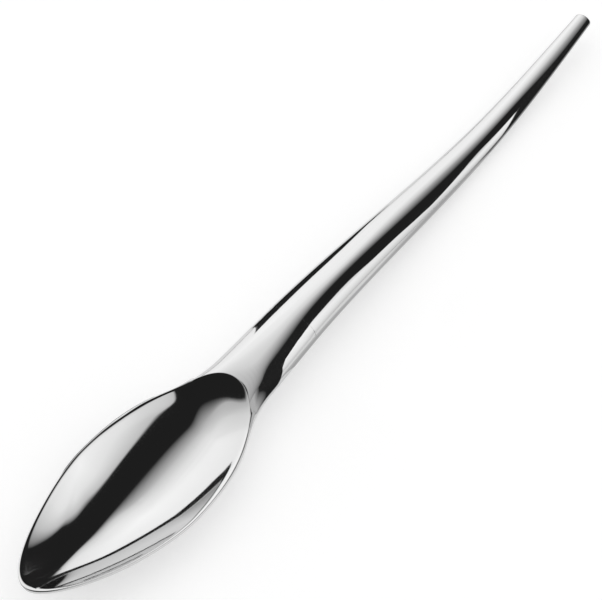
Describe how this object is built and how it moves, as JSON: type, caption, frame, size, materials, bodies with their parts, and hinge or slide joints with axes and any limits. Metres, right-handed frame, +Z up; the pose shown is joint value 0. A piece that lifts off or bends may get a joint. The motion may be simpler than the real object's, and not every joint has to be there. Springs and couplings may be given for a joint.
{
  "type": "teaspoon",
  "caption": "Mirror-polished teaspoon with a leaf-shaped bowl, a solid neck and a slim hollow handle that tapers in a gentle S-curve to a flat tail; for stirring and serving.",
  "frame": {"origin": "on the table surface, under the middle of the spoon's bounding box", "axes": "+X from the bowl tip towards the tail, +Y to the left of a person looking from the tip to the tail, +Z up"},
  "size_m": [0.14, 0.0224, 0.008],
  "materials": {
    "bowl_steel": "polished",
    "tang_steel": "satin",
    "shell_steel": "polished",
    "core_resin": "matte",
    "plug_steel": "polished"
  },
  "bodies": {
    "root": {"bowl": "bowl_steel", "tang": "tang_steel", "handle_upper_shell": "shell_steel", "handle_lower_shell": "shell_steel", "handle_core": "core_resin", "tail_plug": "plug_steel"}
  },
  "joints": []
}
